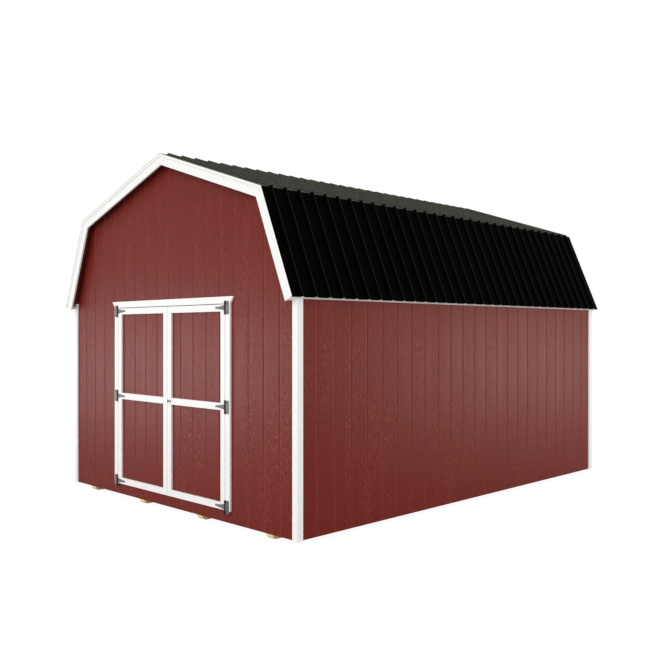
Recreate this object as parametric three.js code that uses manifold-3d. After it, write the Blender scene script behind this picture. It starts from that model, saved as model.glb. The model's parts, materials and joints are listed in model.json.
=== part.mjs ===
// Lofted barn: a 12 x 16 ft gambrel-roofed portable shed on timber skids, with a pair of
// side-hung doors in its front gable. Millimetres, +Z up, +Y towards the back wall, origin on
// the ground under the middle of the roof. The front gable with the doors faces -Y.
import * as THREE from 'three';
import { mergeVertices } from 'three/addons/utils/BufferGeometryUtils.js';
import Module from 'manifold-3d';

const wasm = await Module();
wasm.setup();

// ---------------------------------------------------------------- driving dimensions

const frameWidth = 3657.6;          // over the wall studs, 12 ft
const frameLength = 4876.8;         // over the wall studs, 16 ft
const fitGap = 0.3;                 // between pieces that seat on a cut or sloping face
const splice = 4;                   // members of one frame run into each other by this
const past = 1;                     // a cut runs past the faces that it opens by this

// lumber
const lumberThick = 38;             // 2x4 and 2x6, thickness
const lumberDepth = 89;             // 2x4, depth
const lintelDepth = 140;            // 2x6, depth
const boardThick = 19;              // 1x3 and 1x4, thickness
const trimWidth = 63.5;             // 1x3, width
const rakeWidth = 89;               // 1x4, width
const gussetThick = 12;
const gussetReach = 240;            // along each rafter from the joint that it ties
const gussetInnerReach = 192;       // the same along the rafters' inner edges

// ground to floor
const skidWidth = 89;
const skidHeight = 89;
const outerSkidInset = 343.3;       // of its centre line from the side wall's studs
const innerSkidOffset = 497.5;      // of its centre line from the middle
const skidSetback = 13;             // of each end behind the siding's face
const skidNoseRun = 30;             // of the cut under each end
const skidNoseRise = 22;
const sidingBottom = 45;            // above the ground
const joistSpacing = 406.4;
const deckThick = 16;

// siding
const sidingThick = 19;
const groovePitch = 203.2;
const grooveWidth = 12;
const grooveTaper = 4;              // each side of the groove narrows by this to its bottom
const grooveDepth = 3;
const studSpacing = 406.4;

// doors
const doorwayWidth = 1839;          // between the jambs
const doorwayTop = 1991.5;
const doorwayBottom = 150;
const doorSideGap = 7.5;            // leaf to jamb
const doorTopGap = 6;               // leaf to header
const doorSillGap = 5.5;            // leaf to the strip of siding under it
const doorSeam = 7;                 // between the two leaves
const leafThick = 14;               // leaf panel
const leafRailCentre = 1072.5;      // height of the middle rail
const leafFrameInset = 10;          // back frame behind the meeting edge
const leafFrameLift = 6;            // back frame over the floor deck
const headerFlare = 47;             // each end of the header board at its top edge

// hinges
const hingePinRadius = 3.5;
const hingeBoreRadius = 4;
const hingeKnuckleRadius = 7;
const hingePlateThick = 3;
const hingePlateWidth = 42;
const hingePlateHeight = 118;
const hingePlateInner = 10;         // from the pin's centre to the plate's near edge
const hingePinOffset = 1.5;         // of the pin's centre outside the doorway's edge
const hingeStrapLength = 154;       // from the pin's centre to the strap's tip
const hingeStrapRoot = 56;
const hingeStrapWaist = 26;         // where the root's curve runs into the taper
const hingeStrapCurve = 30;         // from the knuckle to the waist
const hingeStrapTip = 16;
const hingeEndClearance = 1;        // between knuckles along the pin
const hingeEndOffset = 30;          // hinge centre from the leaf's top and bottom edge

// latch
const latchOffset = 50;             // from the middle of the doorway
const latchLift = 2;                // over the middle rail's centre
const latchRoseRadius = 14;
const latchRoseThick = 4;
const latchNeckRadius = 6.5;
const latchKnobRadius = 14.3;
const latchKnobDepth = 23;          // of the knob, front to back
const latchKnobReach = 26.5;        // of the knob's middle from the board
const latchSpindleRadius = 5;
const latchHoleRadius = 8;
const latchCamLength = 34;
const latchCamWidth = 18;
const latchCamThick = 6;

// roof
const eaveOverhang = 53.2;          // from the siding's face to the sheets' lower edge
const eaveHeight = 2019.5;          // of that edge
const lowerRun = 387;
const lowerRise = 934.2;
const upperRise = 504.5;
const gableOverhang = 105.6;        // from the siding's face to the sheets' end
const sheetThick = 2;
const sheetLip = 10;                // the sheets' reach past the square end under them
const ribPitch = 158.3;
const ribHeight = 17;
const ribBase = 44;
const ribTop = 18;
const roofDeckThick = 12.7;
const rafterHeel = 14.4;            // of each foot, on the wall plate behind the eave board
const dripThick = 9;                // strip on the rake boards, along the sheets' edge
const dripWidth = 22.5;
const rafterSpacing = 609.6;

// ---------------------------------------------------------------- derived sizes

const studFaceX = frameWidth / 2;
const studFaceY = frameLength / 2;
const sidingFaceX = studFaceX + sidingThick;
const sidingFaceY = studFaceY + sidingThick;
const trimFaceX = sidingFaceX + boardThick;
const trimFaceY = sidingFaceY + boardThick;
const roofEndY = sidingFaceY + gableOverhang;
const rakeFaceY = roofEndY - dripThick;
const rakeBackY = rakeFaceY - boardThick;

const joistTop = skidHeight + lumberDepth;
const deckTop = joistTop + deckThick;

const doorwayHalf = doorwayWidth / 2;
const lintelEnd = doorwayHalf + lumberThick;
const headerTop = doorwayTop + trimWidth;
const leafBottom = doorwayBottom + doorSillGap;
const leafTop = doorwayTop - doorTopGap;
const leafOuter = doorwayHalf - doorSideGap;
const leafInner = doorSeam / 2;
const leafBackY = -sidingFaceY + leafThick;
const leafFrameBackY = leafBackY + lumberThick;
const hingeAxisX = doorwayHalf + hingePinOffset;
const hingeAxisY = -trimFaceY - hingeKnuckleRadius;
const hingeHeights = [leafBottom + hingeEndOffset, leafRailCentre, leafTop - hingeEndOffset];
const latchHeight = leafRailCentre + latchLift;

// ---------------------------------------------------------------- materials

function paint(colour, roughness, metalness = 0) {
  return new THREE.MeshStandardMaterial({ color: colour, roughness, metalness });
}

const redPaint = paint(0x752721, 0.55);
const whitePaint = paint(0xf6f5f1, 0.5);
const treatedWood = paint(0xd2ae74, 0.8);
const framingWood = paint(0xdcbf8c, 0.8);
const plywood = paint(0xc9a46c, 0.8);
const roofSheet = paint(0x14140f, 0.35, 0.6);
const hingeSteel = paint(0x5c5a56, 0.45, 0.8);

// ---------------------------------------------------------------- shapes and solids

function outline(points) {
  return new THREE.Shape(points.map(([a, b]) => new THREE.Vector2(a, b)));
}

function extrude(shape, depth, curveSegments = 6) {
  return new THREE.ExtrudeGeometry(shape, { depth, bevelEnabled: false, curveSegments });
}

// a shape drawn in X and Z, from y0 to y1
function alongY(shape, y0, y1) {
  return extrude(shape, y1 - y0).rotateX(Math.PI / 2).translate(0, y1, 0);
}

// a shape drawn in Y and Z, from x0 to x1
function alongX(shape, x0, x1) {
  const turn = new THREE.Matrix4().makeBasis(
    new THREE.Vector3(0, 1, 0), new THREE.Vector3(0, 0, 1), new THREE.Vector3(1, 0, 0));
  return extrude(shape, x1 - x0).applyMatrix4(turn).translate(x0, 0, 0);
}

// a shape drawn in X and Y, from z0 to z1
function alongZ(shape, z0, z1) {
  return extrude(shape, z1 - z0).translate(0, 0, z0);
}

function block(x0, x1, y0, y1, z0, z1) {
  const size = [Math.abs(x1 - x0), Math.abs(y1 - y0), Math.abs(z1 - z0)];
  return new THREE.BoxGeometry(...size).translate((x0 + x1) / 2, (y0 + y1) / 2, (z0 + z1) / 2);
}

// a round bar along Y
function rodY(radius, x, z, y0, y1, sides = 16) {
  return new THREE.CylinderGeometry(radius, radius, y1 - y0, sides).translate(x, (y0 + y1) / 2, z);
}

// a round bar along Z
function rodZ(radius, x, y, z0, z1, sides = 16) {
  const rod = new THREE.CylinderGeometry(radius, radius, z1 - z0, sides).rotateX(Math.PI / 2);
  return rod.translate(x, y, (z0 + z1) / 2);
}

function toSolid(geometry) {
  const bare = geometry.clone();
  bare.deleteAttribute('normal');
  bare.deleteAttribute('uv');
  const merged = mergeVertices(bare, 1e-4);
  const corners = [];
  for (let i = 0; i < merged.index.count; i += 3) {
    const triangle = [0, 1, 2].map((k) => merged.index.getX(i + k));
    if (new Set(triangle).size === 3) {
      corners.push(...triangle);
    }
  }
  return new wasm.Manifold(new wasm.Mesh({
    numProp: 3,
    vertProperties: new Float32Array(merged.attributes.position.array),
    triVerts: new Uint32Array(corners),
  }));
}

function toGeometry(solid) {
  const mesh = solid.getMesh();
  const geometry = new THREE.BufferGeometry();
  geometry.setAttribute('position', new THREE.BufferAttribute(mesh.vertProperties, 3));
  geometry.setIndex(new THREE.BufferAttribute(mesh.triVerts, 1));
  return geometry;
}

function join(pieces) {
  return toGeometry(pieces.map(toSolid).reduce((whole, piece) => whole.add(piece)));
}

function cut(body, tools) {
  return toGeometry(tools.map(toSolid).reduce((left, tool) => left.subtract(tool), toSolid(body)));
}

function common(body, other) {
  return toGeometry(toSolid(body).intersect(toSolid(other)));
}

const barn = new THREE.Group();
const doorLeft = new THREE.Group();
const doorRight = new THREE.Group();
barn.add(doorLeft, doorRight);

function place(group, name, geometry, material) {
  const mesh = new THREE.Mesh(geometry, material);
  mesh.name = name;
  group.add(mesh);
}

// ---------------------------------------------------------------- roof profile

// The right half of the roof's outer line: eave, knee and ridge. A layer lies at a depth below
// that line, measured square to each slope.
const eaveHalfWidth = sidingFaceX + eaveOverhang;
const lowerLength = Math.hypot(lowerRun, lowerRise);
const kneeX = eaveHalfWidth - lowerRun;
const kneeZ = eaveHeight + lowerRise;
const upperLength = Math.hypot(kneeX, upperRise);
const lowerUp = [-lowerRun / lowerLength, lowerRise / lowerLength];
const lowerIn = [-lowerUp[1], lowerUp[0]];
const upperUp = [-kneeX / upperLength, upperRise / upperLength];

// a point on the lower slope at a distance up from the eave and a depth below the outer line
function onLower(along, depth) {
  return [
    eaveHalfWidth + lowerUp[0] * along + lowerIn[0] * depth,
    eaveHeight + lowerUp[1] * along + lowerIn[1] * depth,
  ];
}

function lowerZ(x, depth) {
  const [x0, z0] = onLower(0, depth);
  return z0 + (x - x0) * lowerUp[1] / lowerUp[0];
}

function upperZ(x, depth) {
  const ridge = kneeZ + upperRise - depth / -upperUp[0];
  return ridge + x * upperUp[1] / upperUp[0];
}

// where the two slopes of one layer meet
function knee(depth) {
  const slopeDifference = upperUp[1] / upperUp[0] - lowerUp[1] / lowerUp[0];
  const x = (lowerZ(0, depth) - upperZ(0, depth)) / slopeDifference;
  return [x, upperZ(x, depth)];
}

function ridge(depth) {
  return [0, upperZ(0, depth)];
}

function mirrored(points) {
  return points.map(([x, z]) => [-x, z]).reverse();
}

// a band of the roof between two depths, from eave to eave
function roofBand(outer, inner, along) {
  const rightOuter = [onLower(along, outer), knee(outer), ridge(outer)];
  const rightInner = [onLower(along, inner), knee(inner), ridge(inner)];
  return [
    ...rightOuter, ...mirrored(rightOuter).slice(1),
    ...mirrored(rightInner).reverse(), ...rightInner.slice(0, -1).reverse(),
  ];
}

// the sloping end of deck, rakes and eave boards under the sheets' lip, square to the slope
function eaveFaceZ(x) {
  const [x0, z0] = onLower(sheetLip, 0);
  return z0 - (x0 - Math.abs(x)) * lowerRun / lowerRise;
}

// depths of the layers under the sheets: the deck, then rafters, rakes and eave boards
const deckOuter = sheetThick + fitGap;
const deckInner = deckOuter + roofDeckThick;
const rafterOuter = deckInner + fitGap;
const rafterInner = rafterOuter + lumberDepth;
const eaveBoardInner = rafterInner - rafterHeel - 2 * fitGap;

const rafterFoot = sheetLip + boardThick + fitGap;
const plateTop = onLower(sheetLip, eaveBoardInner)[1] - fitGap;

// ---------------------------------------------------------------- base and floor

// each end runs out under the siding's lower edge, and is notched to clear the siding above it
function makeSkids() {
  const end = sidingFaceY - skidSetback;
  const notch = sidingBottom - fitGap;
  const half = [[end - skidNoseRun, 0], [end, skidNoseRise], [end, notch], [studFaceY, notch],
    [studFaceY, skidHeight]];
  const side = outline([...half, ...mirrored(half)]);
  const outer = studFaceX - outerSkidInset;
  [-outer, -innerSkidOffset, innerSkidOffset, outer].forEach((x, i) => {
    const skid = alongX(side, x - skidWidth / 2, x + skidWidth / 2);
    place(barn, `skid_${i + 1}`, skid, treatedWood);
  });
}

// the leaves lap over the floor's edge, which is rebated to clear them
function doorRebate(z1) {
  const depth = sidingThick - leafThick;
  return block(-doorwayHalf, doorwayHalf, -studFaceY - past, -studFaceY + depth,
    doorwayBottom, z1 + past);
}

function makeFloor() {
  const pieces = [
    block(-studFaceX, -studFaceX + lumberThick, -studFaceY, studFaceY, skidHeight, joistTop),
    block(studFaceX - lumberThick, studFaceX, -studFaceY, studFaceY, skidHeight, joistTop),
    block(-studFaceX, studFaceX, -studFaceY, -studFaceY + lumberThick, skidHeight, joistTop),
    block(-studFaceX, studFaceX, studFaceY - lumberThick, studFaceY, skidHeight, joistTop),
  ];
  const bays = Math.round(frameLength / joistSpacing);
  for (let i = 1; i < bays; i += 1) {
    const y = -studFaceY + i * frameLength / bays;
    pieces.push(block(-studFaceX + splice, studFaceX - splice, y - lumberThick / 2,
      y + lumberThick / 2, skidHeight, joistTop));
  }
  place(barn, 'floor_frame', cut(join(pieces), [doorRebate(joistTop)]), treatedWood);
  const deck = block(-studFaceX, studFaceX, -studFaceY, studFaceY, joistTop, deckTop);
  place(barn, 'floor_deck', cut(deck, [doorRebate(deckTop)]), plywood);
}

// ---------------------------------------------------------------- wall frames

// stud centres at the stud spacing from one end of a wall, with a stud flush at each end
function studCentres(from, to) {
  const centres = [from + lumberThick / 2];
  const bays = Math.max(1, Math.round((to - from) / studSpacing));
  for (let i = 1; i < bays; i += 1) {
    centres.push(from + i * (to - from) / bays);
  }
  centres.push(to - lumberThick / 2);
  return centres;
}

// a stud frame drawn in the wall's own plane, from a0 to a1 along the wall and from the deck to
// the plate top; its top plate can start further in, past a shorter first stud
function studFrame(a0, a1, topPlateFrom = a0, firstTop = plateTop - splice) {
  const bars = [
    [a0, a1, deckTop, deckTop + lumberThick],
    [topPlateFrom, a1, plateTop - 2 * lumberThick, plateTop],
  ];
  studCentres(a0, a1).forEach((centre, i) => {
    const top = i === 0 ? firstTop : plateTop - splice;
    bars.push([centre - lumberThick / 2, centre + lumberThick / 2, deckTop + splice, top]);
  });
  return bars;
}

function makeSideWallFrames() {
  const end = studFaceY - lumberDepth - fitGap;
  for (const [name, side] of [['wall_frame_left', -1], ['wall_frame_right', 1]]) {
    const bars = studFrame(-end, end).map(([a0, a1, z0, z1]) =>
      block(side * studFaceX, side * (studFaceX - lumberDepth), a0, a1, z0, z1));
    place(barn, name, join(bars), framingWood);
  }
}

// the stud beside the doorway carries the lintel, and the top plate stops short of both
function makeFrontWallFrames() {
  const y0 = -studFaceY;
  const y1 = -studFaceY + lumberDepth;
  for (const [name, side] of [['wall_frame_front_left', -1], ['wall_frame_front_right', 1]]) {
    const bars = studFrame(doorwayHalf, studFaceX, lintelEnd + fitGap, doorwayTop);
    const pieces = bars.map(([a0, a1, z0, z1]) => block(side * a0, side * a1, y0, y1, z0, z1));
    place(barn, name, join(pieces), framingWood);
  }
}

// gable studs, rafters and bottom plate in one wall's plane
function gablePieces(y0, y1, from) {
  const rafters = outline(roofBand(rafterOuter, rafterInner, rafterFoot));
  const pieces = [alongY(rafters, y0, y1)];
  const plateEnd = onLower(rafterFoot, rafterInner)[0] + splice;
  for (const side of [-1, 1]) {
    pieces.push(block(side * from, side * plateEnd, y0, y1, plateTop + fitGap,
      plateTop + fitGap + lumberThick));
  }
  return pieces;
}

// studs between the plates or the lintel and the upper rafters
function gableStuds(y0, y1, footAt) {
  const reach = Math.floor(knee(rafterInner)[0] / studSpacing);
  const studs = [];
  for (let i = -reach; i <= reach; i += 1) {
    const x = i * studSpacing;
    const top = upperZ(Math.abs(x) + lumberThick / 2, rafterInner - lumberDepth / 2);
    studs.push(block(x - lumberThick / 2, x + lumberThick / 2, y0, y1, footAt(x), top));
  }
  return studs;
}

function makeFrontGableFrame() {
  const y0 = -studFaceY;
  const y1 = -studFaceY + lumberDepth;
  const pieces = gablePieces(y0, y1, lintelEnd);
  const lintelTop = doorwayTop + lintelDepth;
  pieces.push(block(-lintelEnd, lintelEnd, y0, y1, doorwayTop + fitGap, lintelTop));
  pieces.push(...gableStuds(y0, y1, (x) =>
    (Math.abs(x) < lintelEnd ? lintelTop : plateTop + lumberThick) - splice));
  place(barn, 'gable_frame_front', join(pieces), framingWood);
}

function makeBackWallFrame() {
  const y0 = studFaceY - lumberDepth;
  const y1 = studFaceY;
  const pieces = gablePieces(y0, y1, -splice);
  pieces.push(...studFrame(-studFaceX, studFaceX).map(([a0, a1, z0, z1]) =>
    block(a0, a1, y0, y1, z0, z1)));
  const tie = studFaceX - lumberDepth;
  pieces.push(block(-tie, tie, y0, y1, plateTop - splice, plateTop + lumberThick));
  pieces.push(...gableStuds(y0, y1, () => plateTop + splice));
  place(barn, 'wall_frame_back', join(pieces), framingWood);
}

// ---------------------------------------------------------------- siding

// the outline, seen from above, of a panel with vertical grooves in its outer face.
// a: along the wall, b: out through the wall
function groovedSection(a0, a1, back, face) {
  const points = [[a0, back], [a0, face]];
  const first = Math.ceil((a0 + grooveWidth) / groovePitch);
  const last = Math.floor((a1 - grooveWidth) / groovePitch);
  const out = Math.sign(face - back);
  for (let i = first; i <= last; i += 1) {
    const centre = i * groovePitch;
    const half = grooveWidth / 2;
    points.push([centre - half, face], [centre - half + grooveTaper, face - out * grooveDepth]);
    points.push([centre + half - grooveTaper, face - out * grooveDepth], [centre + half, face]);
  }
  points.push([a1, face], [a1, back]);
  return points;
}

function frontPanel(x0, x1, z0, z1, side = -1, back = studFaceY) {
  const section = groovedSection(x0, x1, side * back, side * sidingFaceY);
  return alongZ(outline(section), z0, z1);
}

// all that lies under the roof deck between two walls' faces at the same distance x
function underDeck(x) {
  const right = [[x, 0], [x, lowerZ(x, rafterOuter)], knee(rafterOuter), ridge(rafterOuter)];
  return alongY(outline([...right, ...mirrored(right).slice(1)]), -roofEndY, roofEndY);
}

function makeSiding() {
  const roofTop = ridge(0)[1];
  const left = frontPanel(-sidingFaceX, -doorwayHalf, sidingBottom, doorwayTop);
  const right = frontPanel(doorwayHalf, sidingFaceX, sidingBottom, doorwayTop);
  const sill = frontPanel(-doorwayHalf, doorwayHalf, sidingBottom, doorwayBottom);
  const gable = frontPanel(-sidingFaceX, sidingFaceX, doorwayTop, roofTop);
  const back = frontPanel(-sidingFaceX, sidingFaceX, sidingBottom, roofTop, 1);
  place(barn, 'siding_front_left', left, redPaint);
  place(barn, 'siding_front_right', right, redPaint);
  place(barn, 'siding_front_sill', sill, redPaint);
  place(barn, 'siding_front_gable', common(gable, underDeck(sidingFaceX + past)), redPaint);
  place(barn, 'siding_back', common(back, underDeck(sidingFaceX + past)), redPaint);
  for (const [name, side] of [['siding_left', -1], ['siding_right', 1]]) {
    const section = groovedSection(-studFaceY, studFaceY, side * studFaceX, side * sidingFaceX);
    const panel = alongZ(outline(section.map(([along, out]) => [out, along])), sidingBottom,
      eaveHeight);
    const edges = [studFaceX - past, sidingFaceX + past].map((x) => side * x);
    const underEave = outline([...edges.map((x) => [x, 0]),
      ...edges.map((x) => [x, eaveFaceZ(x) - fitGap]).reverse()]);
    place(barn, name, common(panel, alongY(underEave, -roofEndY, roofEndY)), redPaint);
  }
}

// ---------------------------------------------------------------- trim

// two boards round each corner of the walls: the one on the end wall is level with the door
// header, and the one on the side wall stops under the eave
function makeCornerTrims() {
  const reach = trimFaceY - trimWidth;
  for (const [end, sy] of [['front', -1], ['back', 1]]) {
    for (const [hand, sx] of [['left', -1], ['right', 1]]) {
      const plan = [[trimFaceX, trimFaceY], [trimFaceX, reach], [sidingFaceX, reach],
        [sidingFaceX, sidingFaceY], [trimFaceX - trimWidth, sidingFaceY],
        [trimFaceX - trimWidth, trimFaceY]].map(([x, y]) => [sx * x, sy * y]);
      const boards = common(alongZ(outline(plan), sidingBottom, headerTop),
        underDeck(trimFaceX + past));
      const edges = [sidingFaceX - boardThick, trimFaceX + boardThick].map((x) => sx * x);
      const overEave = outline([...edges.map((x) => [x, eaveFaceZ(x) - fitGap]),
        ...edges.map((x) => [x, ridge(0)[1]]).reverse()]);
      const ys = [sy * sidingFaceY, sy * (reach - boardThick)].sort((a, b) => a - b);
      place(barn, `corner_trim_${end}_${hand}`, cut(boards, [alongY(overEave, ...ys)]),
        whitePaint);
    }
  }
}

// each side's rake board, from the square eave end to the ridge, with the strip that laps its
// upper edge and the deck's edge under the sheets
function makeRakes() {
  for (const [end, sy] of [['front', -1], ['back', 1]]) {
    for (const [hand, sx] of [['left', -1], ['right', 1]]) {
      const band = (outer, inner, face, back) => {
        const points = [onLower(sheetLip, outer), knee(outer), ridge(outer), ridge(inner),
          knee(inner), onLower(sheetLip, inner)].map(([x, z]) => [sx * (x + fitGap / 2), z]);
        return alongY(outline(points), ...[sy * face, sy * back].sort((a, b) => a - b));
      };
      const board = band(rafterOuter, rafterOuter + rakeWidth, rakeFaceY, rakeBackY);
      const drip = band(deckOuter, deckOuter + dripWidth, roofEndY, rakeFaceY);
      place(barn, `rake_${end}_${hand}`, join([board, drip]), whitePaint);
    }
  }
}

// the board that closes the eave under the rafter ends, notched round the end walls' corners
function makeEaveBoards() {
  for (const [hand, sx] of [['left', -1], ['right', 1]]) {
    const upper = sheetLip + boardThick;
    const points = [onLower(sheetLip, rafterOuter), onLower(upper, rafterOuter),
      onLower(upper, eaveBoardInner), onLower(sheetLip, eaveBoardInner)];
    const board = alongY(outline(points.map(([x, z]) => [sx * x, z])), -rakeBackY, rakeBackY);
    const notches = [-1, 1].map((sy) => block(0, sx * (trimFaceX + fitGap),
      sy * (studFaceY - fitGap), sy * (trimFaceY + fitGap), 0, ridge(0)[1]));
    place(barn, `eave_board_${hand}`, cut(board, notches), whitePaint);
  }
}

// ---------------------------------------------------------------- roof

// gambrel rafters tied by gussets; each foot steps behind the eave board onto the wall plate
function makeRafters() {
  const heel = rafterInner - rafterHeel;
  const seat = plateTop + fitGap;
  const onSeat = (depth) => {
    const [x0, z0] = onLower(0, depth);
    return [x0 + (seat - z0) * lowerUp[0] / lowerUp[1], seat];
  };
  const top = [onLower(rafterFoot, rafterOuter), knee(rafterOuter), ridge(rafterOuter)];
  const under = [onLower(rafterFoot, heel), onSeat(heel), onSeat(rafterInner),
    knee(rafterInner), ridge(rafterInner)];
  const band = [...top, ...mirrored(top).slice(1), ...mirrored(under).reverse(),
    ...under.slice(0, -1).reverse()];
  const step = (from, way, length) => [from[0] + way[0] * length, from[1] + way[1] * length];
  const kneeGusset = [step(knee(rafterOuter), lowerUp, -gussetReach), knee(rafterOuter),
    step(knee(rafterOuter), upperUp, gussetReach),
    step(knee(rafterInner), upperUp, gussetInnerReach),
    step(knee(rafterInner), lowerUp, -gussetInnerReach)];
  const ridgeSide = [step(ridge(rafterInner), upperUp, -gussetReach),
    step(ridge(rafterOuter), upperUp, -gussetReach)];
  const ridgeGusset = [...ridgeSide, ridge(rafterOuter), ...mirrored(ridgeSide)];
  const bays = Math.round(frameLength / rafterSpacing);
  for (let i = 1; i < bays; i += 1) {
    const y = -studFaceY + i * frameLength / bays;
    const half = lumberThick / 2;
    const gussets = [ridgeGusset, kneeGusset, mirrored(kneeGusset)].map((points) =>
      alongY(outline(points), y - half - gussetThick, y + half + gussetThick));
    place(barn, `rafter_${i}`, join([alongY(outline(band), y - half, y + half), ...gussets]),
      framingWood);
  }
}

// deck panels that run out over the rake boards and end flush with the eave boards
function makeRoofDecks() {
  const end = rakeFaceY - fitGap;
  for (const [hand, sx] of [['left', -1], ['right', 1]]) {
    const panel = (points) =>
      alongY(outline(points.map(([x, z]) => [sx * x, z])), -end, end);
    const shift = ([x, z], dx) => [x + dx, z];
    const lower = [onLower(sheetLip, deckOuter), knee(deckOuter), knee(deckInner),
      onLower(sheetLip, deckInner)];
    const upper = [shift(knee(deckOuter), -fitGap), shift(ridge(deckOuter), fitGap),
      shift(ridge(deckInner), fitGap), shift(knee(deckInner), -fitGap)];
    place(barn, `roof_deck_lower_${hand}`, panel(lower), plywood);
    place(barn, `roof_deck_upper_${hand}`, panel(upper), plywood);
  }
}

// the ribbed sheet's section: along the building, and out from the roof
function ribbedSection() {
  const ribCount = Math.floor(2 * roofEndY / ribPitch);
  const line = [[-roofEndY, 0]];
  for (let i = 0; i < ribCount; i += 1) {
    const centre = (i - (ribCount - 1) / 2) * ribPitch;
    line.push([centre - ribBase / 2, 0], [centre - ribTop / 2, ribHeight]);
    line.push([centre + ribTop / 2, ribHeight], [centre + ribBase / 2, 0]);
  }
  line.push([roofEndY, 0]);
  const under = line.map(([y, out]) => [y, out - sheetThick]).reverse();
  return outline([...line, ...under]);
}

// a sheet laid up one slope of the right-hand side, from one point of the outer line to the next
function layRibbed(section, from, to, extra) {
  const up = new THREE.Vector3(to[0] - from[0], 0, to[1] - from[1]).normalize();
  const toFront = new THREE.Vector3(0, -1, 0);
  const out = new THREE.Vector3().crossVectors(up, toFront);
  const length = Math.hypot(to[0] - from[0], to[1] - from[1]);
  const sheet = extrude(section, length + 2 * extra).translate(0, 0, -extra);
  const turn = new THREE.Matrix4().makeBasis(toFront, out, up);
  return sheet.applyMatrix4(turn).translate(from[0], 0, from[1]);
}

function makeRoofSheets() {
  const section = ribbedSection();
  const extra = 3 * ribHeight;
  const above = -2 * ribHeight;
  const below = 2 * ribHeight;
  const eave = [onLower(0, above), onLower(0, below)];
  const keepLower = outline([...eave, knee(below), knee(above)]);
  const keepUpper = outline([[fitGap, ridge(below)[1]], [fitGap, ridge(above)[1]],
    [knee(above)[0] - fitGap, knee(above)[1]], [knee(below)[0] - fitGap, knee(below)[1]]]);
  const pieces = {
    lower: [layRibbed(section, onLower(0, 0), knee(0), extra), keepLower],
    upper: [layRibbed(section, knee(0), ridge(0), extra), keepUpper],
  };
  for (const [slope, [sheet, keep]] of Object.entries(pieces)) {
    const solid = toSolid(sheet).intersect(toSolid(alongY(keep, -roofEndY, roofEndY)));
    place(barn, `roof_sheet_${slope}_right`, toGeometry(solid), roofSheet);
    place(barn, `roof_sheet_${slope}_left`, toGeometry(solid.mirror([1, 0, 0])), roofSheet);
  }
}

// ---------------------------------------------------------------- doors

function knuckle(side, z0, z1, radius) {
  return rodZ(radius, side * hingeAxisX, hingeAxisY, z0, z1);
}

function makeDoorCasing() {
  const y0 = -trimFaceY;
  const y1 = -sidingFaceY;
  const outer = doorwayHalf + trimWidth;
  for (const [hand, side] of [['left', -1], ['right', 1]]) {
    const pieces = [block(side * doorwayHalf, side * outer, y0, y1, doorwayBottom, doorwayTop)];
    for (const z of hingeHeights) {
      const near = hingeAxisX + hingePlateInner;
      const low = z - hingePlateHeight / 2;
      const high = z + hingePlateHeight / 2;
      const strapLow = z - hingeStrapRoot / 2 - hingeEndClearance;
      const strapHigh = z + hingeStrapRoot / 2 + hingeEndClearance;
      pieces.push(block(side * near, side * (near + hingePlateWidth), y0 - hingePlateThick, y0,
        low, high));
      for (const [z0, z1] of [[low, strapLow], [strapHigh, high]]) {
        pieces.push(knuckle(side, z0, z1, hingeKnuckleRadius));
        pieces.push(block(side * hingeAxisX, side * (near + past), y0 - hingePlateThick, y0,
          z0, z1));
      }
      pieces.push(knuckle(side, low + past, high - past, hingePinRadius));
    }
    place(barn, `door_jamb_${hand}`, join(pieces), whitePaint);
  }
  const header = outline([[-outer, doorwayTop], [outer, doorwayTop],
    [outer + headerFlare, headerTop], [-outer - headerFlare, headerTop]]);
  place(barn, 'door_header', alongY(header, y0, y1), whitePaint);
}

function rectangle(x0, x1, z0, z1) {
  return [[x0, z0], [x1, z0], [x1, z1], [x0, z1]];
}

// a board frame with stiles, top, middle and bottom rails, seen from the front
function railedFrame(x0, x1, z0, z1, middle, width) {
  const frame = outline(rectangle(x0, x1, z0, z1));
  const lower = rectangle(x0 + width, x1 - width, z0 + width, middle - width / 2);
  const upper = rectangle(x0 + width, x1 - width, middle + width / 2, z1 - width);
  frame.holes.push(outline(lower), outline(upper));
  return frame;
}

function makeLeaf(group, hand, side) {
  const span = side > 0 ? [leafInner, leafOuter] : [-leafOuter, -leafInner];
  const panel = frontPanel(...span, leafBottom, leafTop, -1, sidingFaceY - leafThick);
  const trim = alongY(railedFrame(...span, leafBottom, leafTop, leafRailCentre, trimWidth),
    -trimFaceY, -sidingFaceY);
  const frameInner = leafInner + leafFrameInset;
  const frameSpan = side > 0 ? [frameInner, leafOuter] : [-leafOuter, -frameInner];
  const frame = alongY(railedFrame(...frameSpan, deckTop + leafFrameLift, leafTop,
    leafRailCentre, lumberDepth), leafBackY, leafFrameBackY);
  if (side > 0) {
    const hole = rodY(latchHoleRadius, latchOffset, latchHeight, -trimFaceY - past,
      leafFrameBackY + past);
    place(group, `door_panel_${hand}`, cut(panel, [hole]), redPaint);
    place(group, `door_trim_${hand}`, cut(trim, [hole]), whitePaint);
    place(group, `door_frame_${hand}`, cut(frame, [hole]), framingWood);
  } else {
    place(group, `door_panel_${hand}`, panel, redPaint);
    place(group, `door_trim_${hand}`, trim, whitePaint);
    place(group, `door_frame_${hand}`, frame, framingWood);
  }
}

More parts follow.
